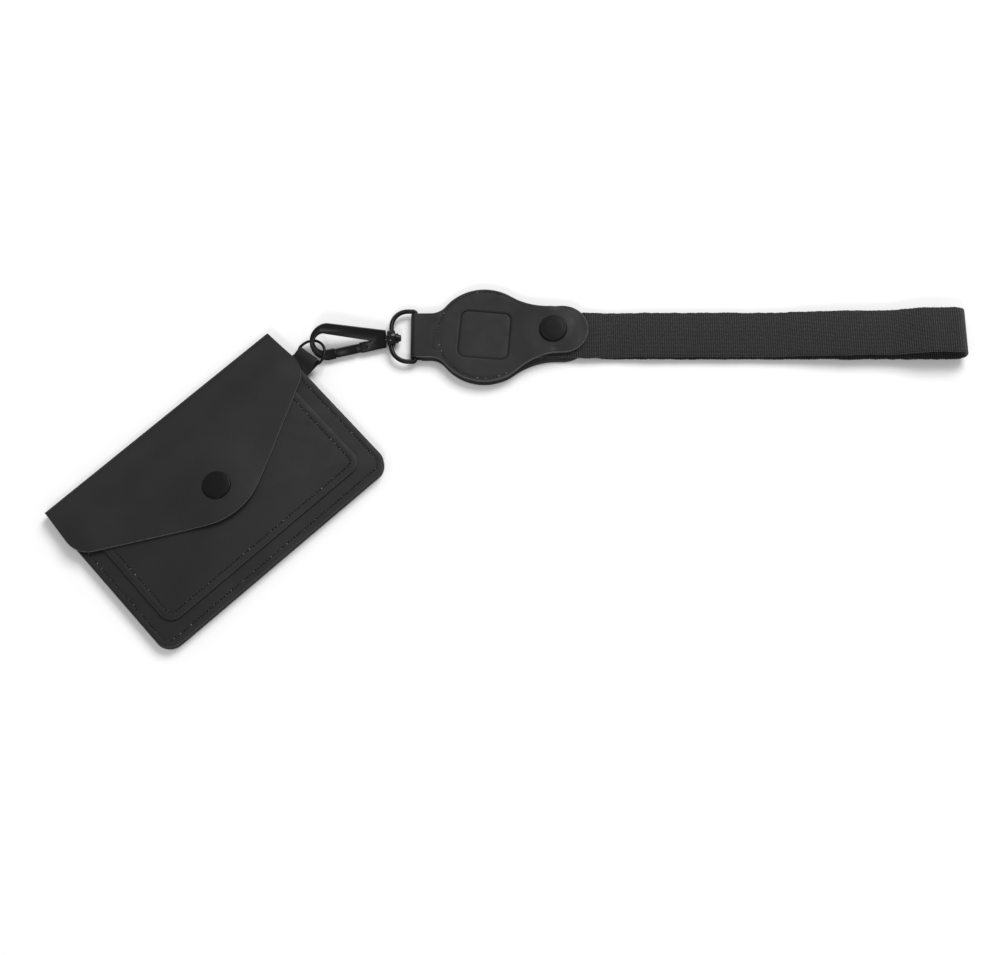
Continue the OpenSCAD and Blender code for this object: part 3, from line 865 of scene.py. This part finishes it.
def wire_piece(name, where, path, radius, body, nodes, around):
    """A closed round wire along a flat path."""
    section = arc((0, 0), radius, 0, 360 - 360 / around, around - 1)
    rings = sweep(path, section, lambda p, q, w: (p, q, w), closed=True)
    fit(add_loft(name, where, rings, [black_metal], closed=True), body, nodes)


def make_ring():
    """The D-shaped ring, from its straight bar in the tab."""
    bend = 0.9
    half = ring_half
    bar_steps = 8
    path = ([(0, -half + bend + (2 * half - 2 * bend) * i / bar_steps) for i in range(bar_steps + 1)]
            + arc((bend, half - bend), bend, 180, 90, 6)[1:]
            + arc((ring_leg, 0), half, 90, -90, 48)
            + arc((bend, -half + bend), bend, 270, 180, 6)[:-1])
    wire_piece("ring_wire", RING, path, ring_wire, "ring", ["pouch_ring"], around=16)


def crossing(origin, direction, line):
    """Where the line from origin along direction meets the line through two points."""
    a, b = line
    d = b - a
    t = direction.x * (origin.y - a.y) - direction.y * (origin.x - a.x)
    return a + d * t / (direction.x * d.y - direction.y * d.x)


def hook_outline():
    """The hook's frame seen from its face: the base, the spine, the bow and the nose."""
    splay = 2.5
    cheek_in = 1.2
    cheek_bulge_r = 2.45
    side = Vector((bow_x - bow_r * math.sin(math.radians(splay)), bow_r * math.cos(math.radians(splay))))
    along = (gate_tip - gate_root).normalized()
    across = Vector((-along.y, along.x))
    outer = (Vector((side.x, -side.y)), Vector((base_x, -base_half)))
    inner = (Vector((hole_x, -hole_r)), hole_tip)
    nose = gate_tip + along * nose_gap
    cheek = gate_root + along * (cheek_r - cheek_in)
    bulge = arc((gate_root.x, gate_root.y), cheek_bulge_r, 180, 240, 5)
    bow = arc((bow_x, 0), bow_r, 90 + splay, 270 - splay, 40)
    hole = arc((hole_x, 0), hole_r, 270, 90, 32)
    return ([(base_x, -base_half), (base_x, base_half), tuple(side)] + bow[1:]
            + [tuple(crossing(nose, across, outer)), tuple(crossing(nose, across, inner))]
            + hole + [tuple(hole_tip), tuple(crossing(cheek, across, inner))]
            + bulge[1:-1] + [tuple(crossing(cheek, across, outer))])


def extruded(name, outline, half_t):
    """A plate of the hook, as thick as twice half_t, with that outline."""
    count = len(outline)
    points = flat(outline, -half_t) + flat(outline, half_t)
    faces = [tuple(reversed(range(count))), tuple(range(count, 2 * count))]
    faces += [(k, (k + 1) % count, count + (k + 1) % count, count + k) for k in range(count)]
    return add_piece(name, HOOK, points, faces, [black_metal])


def cut_away(piece, cutter):
    """Cuts the cutter's shape out of the piece and removes the cutter."""
    modifier = piece.modifiers.new("cut", "BOOLEAN")
    modifier.operation = "DIFFERENCE"
    modifier.solver = "EXACT"
    modifier.object = cutter
    apply_modifiers(piece)
    bpy.data.objects.remove(cutter)


def gate_bar(half, end_gap):
    """The gate's outline from its root round the pin to its tip."""
    along = gate_tip - gate_root
    turn = math.degrees(math.atan2(along.y, along.x))
    tip = gate_tip + along.normalized() * end_gap
    across = Vector((-along.y, along.x)).normalized() * half
    round_root = arc((gate_root.x, gate_root.y), half, turn + 90, turn + 270, 14)
    return [tuple(tip + across)] + round_root + [tuple(tip - across)]


def make_frame():
    """The hook's body, with a slot for the gate from its cheeks to its nose."""
    slot_half = 0.65
    slot_wider = 0.45
    body = extruded("hook_body", hook_outline(), hook_t / 2)
    bevel(body, width=0.62, angle=40)
    slot = extruded("slot_cutter", gate_bar(gate_half + slot_wider, nose_gap), slot_half)
    cut_away(body, slot)
    fit(body, "hook", ["hook_frame"])


def make_gate():
    """The gate: a thin leaf between the cheeks and a grip as thick as the hook beyond them."""
    leaf_half = 0.55
    cheek_gap = 0.45
    leaf = extruded("gate_lever", gate_bar(gate_half, 0), leaf_half)
    bevel(leaf, width=0.12, angle=40)
    fit(leaf, "gate", ["gate"])
    along = (gate_tip - gate_root).normalized()
    across = Vector((-along.y, along.x))
    start = gate_root + along * (cheek_r + cheek_gap)
    outline = [start + across * gate_half, start - across * gate_half,
               gate_tip - across * gate_half, gate_tip + across * gate_half]
    grip = extruded("gate_grip", [tuple(p) for p in outline], hook_t / 2)
    bevel(grip, width=0.3, angle=40)
    fit(grip, "gate", [])


def make_gate_pin():
    """The domed ends of the gate's pin, on both faces of the hook."""
    head = [(0.55, 0), (0.95, 0.02), (0.95, 0.12), (0.8, 0.26), (0.45, 0.33), (0.15, 0.34)]
    sunk = 0.05
    for side, name in ((1, "gate_pin_head"), (-1, "gate_pin_tail")):
        where = HOOK @ Matrix.Translation(Vector((*gate_root, side * (hook_t / 2 - sunk))) * MM)
        if side < 0:
            where = where @ Matrix.Rotation(math.pi, 4, "X")
        end = add_loft(name, where, lathe(head, 32), [black_metal])
        fit(end, "hook", ["gate_pin"] if side > 0 else [])


def make_rivet():
    """The swivel's rivet: its tail in the hook's base, a collar, the shank and a stepped head."""
    collar = [(0.7, base_x - 3.4), (0.7, base_x - 0.4), (1.85, base_x - 0.35), (1.9, base_x + 0.15),
              (1.3, base_x + 0.2)]
    head = [(1.3, 0.1), (2.05, 0.12), (2.2, 0.3), (2.2, 1.0), (2.0, 1.28), (1.5, 1.34), (1.45, 2.1),
            (1.2, 2.4), (0.4, 2.45)]
    profile = collar + [(r, boss_half + h) for r, h in head]
    post = add_loft("swivel_post", ALONG_HOOK, lathe(profile, 40), [turned_metal])
    fit(post, "hook", ["swivel_rivet"])


def make_boss():
    """The eye's round boss, with the rivet's bore through it."""
    bore = 1.38
    half = [(bore, boss_half), (boss_r - 0.7, boss_half), (boss_r - 0.2, boss_half - 0.16),
            (boss_r, boss_half - 0.6)]
    profile = [(r, -h) for r, h in half] + [(boss_r, 0)] + list(reversed(half))
    boss = add_loft("eye_boss", ALONG_HOOK, lathe(profile, 56), [turned_metal], closed=True)
    fit(boss, "eye", [])


def make_eye():
    """The D-shaped wire of the eye, with its straight bar in the holder's neck."""
    corner = 1.3
    half = eye_half
    top = half - eye_bend + eye_offset
    low = -(half - eye_bend) + eye_offset
    bar_steps = 10
    bar_run = 2 * half - 2 * corner
    path = ([(eye_depth, low - eye_bend + corner + bar_run * i / bar_steps) for i in range(bar_steps + 1)]
            + arc((eye_depth - corner, half - corner + eye_offset), corner, 0, 90, 6)[1:]
            + arc((eye_bend, top), eye_bend, 90, 180, 22)
            + arc((eye_bend, low), eye_bend, 180, 270, 22)
            + arc((eye_depth - corner, -half + corner + eye_offset), corner, 270, 360, 6)[:-1])
    wire_piece("eye_wire", EYE, path, eye_wire, "eye", ["swivel_eye"], around=18)


# ---- tracker holder ----


def fillet_line(half, fillet, inset, steps):
    """The fillet between the disc and the straight side of a strip along +X, at its upper side."""
    centre_y = half + fillet
    touch = math.sqrt((holder_r + fillet) ** 2 - centre_y ** 2)
    leave = math.degrees(math.atan2(-centre_y, -touch))
    return arc((touch, centre_y), fillet + inset, leave, -90, steps)


def heading_of(point):
    """The point's direction from the middle, in degrees."""
    return math.degrees(math.atan2(point[1], point[0]))


def holder_outline(turn, inset, neck_end=None):
    """The holder's outline about its disc's centre: tail along +X turned by turn, neck along -X."""
    reach = holder_x - neck_cover - inset if neck_end is None else holder_x - neck_end
    r = holder_r - inset
    tail_steps, neck_steps, disc_steps = 16, 10, 26
    end_steps = 28
    tail_end = arc((tail_len, 0), tail_half - inset, -90, 90, end_steps)
    upper_tail = tail_end[end_steps // 2:] + fillet_line(tail_half, tail_fillet, inset, tail_steps)[::-1]
    lower_tail = [(x, -y) for x, y in reversed(upper_tail)][:-1]
    turned = [(x * math.cos(turn) - y * math.sin(turn), x * math.sin(turn) + y * math.cos(turn))
              for x, y in lower_tail + upper_tail]
    neck_side = fillet_line(neck_half, neck_fillet, inset, neck_steps) + [(reach, neck_half - inset)]
    neck_upper = [(-x, y) for x, y in neck_side]
    neck_lower = [(x, -y) for x, y in reversed(neck_upper)]
    disc_upper = arc((0, 0), r, heading_of(turned[-1]), heading_of(neck_upper[0]), disc_steps)[1:-1]
    disc_lower = arc((0, 0), r, heading_of(neck_lower[-1]) % 360, heading_of(turned[0]) % 360,
                     disc_steps)[1:-1]
    return turned + disc_upper + neck_upper + neck_lower + disc_lower


def window_point(direction, half, corner):
    """Where a ray from the middle crosses the window's rounded square."""
    a = direction - window_turn
    c, s = abs(math.cos(a)), abs(math.sin(a))
    reach = half / max(c, s)
    flat_part = half - corner
    if min(c, s) * reach > flat_part:
        along = flat_part * (c + s)
        reach = along + math.sqrt(max(0.0, along ** 2 - 2 * flat_part ** 2 + corner ** 2))
    return (reach * math.cos(direction), reach * math.sin(direction))


def face_lift(x, y):
    """Rise of the front leather's face about the disc's centre.

    It dips at the stitches and towards the bar, and the tongue rises over the strap to its snap.
    """
    if x < 0:
        pressed_depth, pressed_half = 0.1, 0.9
        bar_dip = 0.15
        seam = abs(math.hypot(x, y) - stitch_r)
        pressed = pressed_depth * (1 - ease(seam, 0, pressed_half)) if abs(y) < neck_half else 0
        return -pressed - bar_dip * ease(-x, holder_r - 1, holder_x - 3)
    hinge_lead = 6
    end_rise = 0.5
    snap_r, free_r = 5.4, 13
    snap_x = snap_reach * math.cos(tail_turn)
    snap_y = snap_reach * math.sin(tail_turn)
    hinge_x = tongue_x - holder_x
    plane = (x - hinge_x) * math.tan(tongue_tilt)
    top = (snap_x - hinge_x) * math.tan(tongue_tilt)
    draped = top * ease(x, hinge_x - hinge_lead, snap_x) if x < snap_x else end_rise
    return plane + (draped - plane) * ease(math.hypot(x - snap_x, y - snap_y), snap_r, free_r)


def between(first, last, spans):
    """Rings spaced evenly from one ring to another."""
    return [[tuple(Vector(a).lerp(Vector(b), i / spans)) for a, b in zip(first, last)]
            for i in range(spans + 1)]


def window_ring(directions, grow, z):
    """The window's edge moved out by grow, with a point in each direction."""
    return [(*window_point(a, window_half + grow, window_r + grow), z) for a in directions]


def front_ring(inset, z, drop=0.0):
    """A ring near the front leather's edge, which drop presses down around the disc only."""
    found = holder_outline(tail_turn, inset, 0)
    return [(x, y, z - (drop if math.hypot(x, y) < holder_r else 0)) for x, y in found]


def make_holder_face():
    """The front and its tongue, in one piece of leather with a window."""
    directions = [math.atan2(y, x) for x, y in holder_outline(tail_turn, 0)]
    top = holder_high
    hem = 0.9
    rim = 2.4
    spans = 30
    rings = [window_ring(directions, grow, z) for grow, z in (
        (0, holder_face_low + 0.1), (0, top - 0.4), (0.15, top - 0.15), (0.45, top - 0.03))]
    rings += between(window_ring(directions, hem, top), front_ring(rim, top), spans)
    rings += [front_ring(1.75, top, 0.05), front_ring(1.35, top, 0.1), front_ring(0.95, top, 0.05),
              front_ring(0.3, top), front_ring(0.09, top - 0.09), front_ring(0, top - 0.3)]
    edge_from = len(rings) - 1
    rings += [front_ring(0, holder_face_low + 0.2), front_ring(0.2, holder_face_low)]
    rings += between(front_ring(rim, holder_face_low), window_ring(directions, hem, holder_face_low), spans)
    lifted = [[(x + holder_x, y, z + face_lift(x, y)) for x, y, z in ring] for ring in rings]
    # the rounded rim takes the lighter holder edge material, a painted highlight along it
    bands = [1 if edge_from - 2 <= i <= edge_from else 0 for i in range(len(rings))]
    face = add_loft("holder_face", STRAP, list(reversed(lifted)), [panel_leather, holder_edge_highlight], closed=True,
                    bands=list(reversed(bands[:-1])) + [bands[-1]])
    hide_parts("holder_front", "holder_tongue")
    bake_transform(face)


def make_window_panel():
    """The thin leather in the window, pushed up a little in its middle."""
    directions = [2 * math.pi * k / 96 for k in range(96)]
    least_corner = 0.3
    hem = 0.9
    low = holder_face_low - 0.05
    lining_t = 0.5

    def ring(shrink, z):
        corner = max(least_corner, window_r - shrink)
        return [(holder_x + x, y, z) for x, y in
                (window_point(a, window_half - shrink, corner) for a in directions)]
    dome = [(0, 0.9), (0.3, 1.04), (0.8, 1.1), (2, 1.13), (4, 1.14), (8, 1.15)]
    rings = [ring(-hem, low - lining_t), ring(-hem, low)] + [ring(inset, low + rise) for inset, rise in dome]
    window = add_loft("window_leather", STRAP, rings, [panel_leather])
    fit(window, "holder", ["window_lining"])


def make_holder_back():
    """The back leather, with its straight tail under the strap."""
    def outline(inset):
        return [(x + holder_x, y) for x, y in holder_outline(0, inset)]
    rings = slab_rings(outline, 0, holder_back_high)
    back = add_loft("holder_back_leather", STRAP, rings, [panel_leather, edge_leather],
                    bands=edge_bands(rings))
    fit(back, "holder", ["holder_back"])


def make_spacers():
    """The two curved spacers between the holder's back and front, open at the tongue and the neck."""
    inner_r, outer_r = 16.9, holder_r - 0.25
    tail_side, neck_side = 57, 149
    middle = (holder_face_low + holder_back_high) / 2
    section = oval_section(holder_face_low - holder_back_high, outer_r - inner_r, 0.3)
    points, faces = [], []
    for start, stop in ((tail_side, neck_side), (360 - neck_side, 360 - tail_side)):
        path = arc((holder_x, 0), (inner_r + outer_r) / 2, start, stop, 40)
        append_part(points, faces, loft(sweep(path, section, lambda p, q, w: (p, q, middle + w))))
    fit(add_piece("pocket_spacers", STRAP, points, faces, [inner_edge]), "holder", ["pocket_rim"])


def make_neck():
    """The strip folded round the eye's bar, its ends between the holder's leathers."""
    strip_t = 1.0
    wrap_r = eye_wire + wrap_gap + strip_t / 2
    low_z, high_z = 1.83, 3.08
    far = 12.8
    close_end = 5
    steps = 16
    stations = [far * i / steps for i in range(steps + 1)]

    def run(x, z_far, z_near):
        return z_near + (z_far - z_near) * ease(x, 0, close_end)
    lower = [(x, run(x, low_z, bar_z - wrap_r)) for x in reversed(stations[1:])]
    upper = [(x, run(x, high_z, bar_z + wrap_r)) for x in stations[1:]]
    path = lower + arc((0, bar_z), wrap_r, 270, 90, 16) + upper
    section = oval_section(2 * neck_half, strip_t, 0.28)
    rings = sweep(path, section, lambda p, q, w: (p, w, q))
    fit(add_loft("neck_leather", STRAP, rings, [panel_leather]), "holder", ["neck_loop"])


def make_holder_stitches():
    """Round the disc and across its neck, and open where the tongue leaves."""
    pressed = 0.08
    path = arc((holder_x, 0), stitch_r, 68, 301, 90)
    fit(stitch_row("holder_stitches", STRAP, path, holder_high - pressed), "holder", ["holder_stitching"])


# ---- strap ----


def strap_low(x):
    """Underside of the lower layer, which comes down off the holder's back."""
    off_start, off_end = 75, 87
    return holder_back_high * (1 - ease(x, off_start, off_end))


def strap_high(x):
    """Underside of the upper layer: a slow rise, then a bulge before the fold."""
    shut = strap_low(x) + strap_t + layer_gap
    part_share, sag_share, bulge_share = 0.2, 0.35, 0.45
    rise = (part_share * ease(x, part_start, part_end) + sag_share * ease(x, sag_start, sag_end)
            + bulge_share * ease(x, bulge_start, bulge_end))
    return shut + (loop_h - strap_t - shut) * rise


def strap_edge(length):
    """How far the webbing sways sideways, and how far its edge sticks out, at that length along it."""
    sway_pitch, pick_pitch, bump_pitch = 9, 1.9, 2.4
    sway = 0.16 * noise.noise(Vector((length / sway_pitch, 0.3, 0)))
    picks = 0.07 * math.sin(2 * math.pi * length / pick_pitch)
    return sway, picks + 0.25 * noise.noise(Vector((length / bump_pitch, 7.7, 0)))


def make_strap():
    """One length of webbing, folded back on itself; its edges are slightly wavy."""
    half_t = strap_t / 2
    run_end = strap_len - loop_h / 2
    step = 0.75
    count = int((run_end - strap_start) / step)
    stations = [strap_start + (run_end - strap_start) * i / count for i in range(count)]
    lower = [(x, strap_low(x) + half_t) for x in stations]
    bend = arc((run_end, loop_h / 2), loop_h / 2 - half_t, -90, 90, 24)
    upper = [(x, strap_high(x) + half_t) for x in reversed(stations)]
    path = lower + bend + upper
    section = oval_section(2 * strap_half, strap_t, 0.42)
    rings = sweep(path, section, lambda p, q, w: (p, strap_y + w, q))
    lengths = running_lengths(path)
    waved = []
    uvs = []
    for ring, length in zip(rings, lengths):
        sway, out = strap_edge(length)
        waved.append([(x, y + sway + out * (y - strap_y) / strap_half, z) for x, y, z in ring])
        uvs += [(length, a) for a, b in section]
    strap = add_loft("strap_band", STRAP, waved, [strap_webbing], uvs=uvs)
    fit(strap, "holder", ["wrist_strap"])


# ---- the CAD pieces that stay ----


def paint_kept_nodes():
    """Materials for the small pieces whose CAD mesh is used as it is."""
    for name in ("pouch_stud", "pouch_stud_rivet", "flap_socket", "holder_stud", "holder_stud_rivet",
                 "tongue_socket", "gate_spring"):
        mesh = frame["nodes"][name].data
        mesh.materials.clear()
        mesh.materials.append(spring_metal if name == "gate_spring" else inner_metal)


def add_floor():
    material, _ = new_material("floor", (0.552, 0.552, 0.552), 0.9)
    size = 3000
    below = -0.25
    points = [(-size, -size, below), (size, -size, below), (size, size, below), (-size, size, below)]
    floor = add_piece("floor", Matrix.Identity(4), points, [(0, 1, 2, 3)], [material])


add_floor()
make_shell()
make_panels()
make_tab()
make_caps()
make_ring()
make_frame()
make_gate()
make_gate_pin()
make_rivet()
make_boss()
make_eye()
make_holder_back()
make_spacers()
make_neck()
make_holder_face()
make_window_panel()
make_holder_stitches()
make_strap()
paint_kept_nodes()
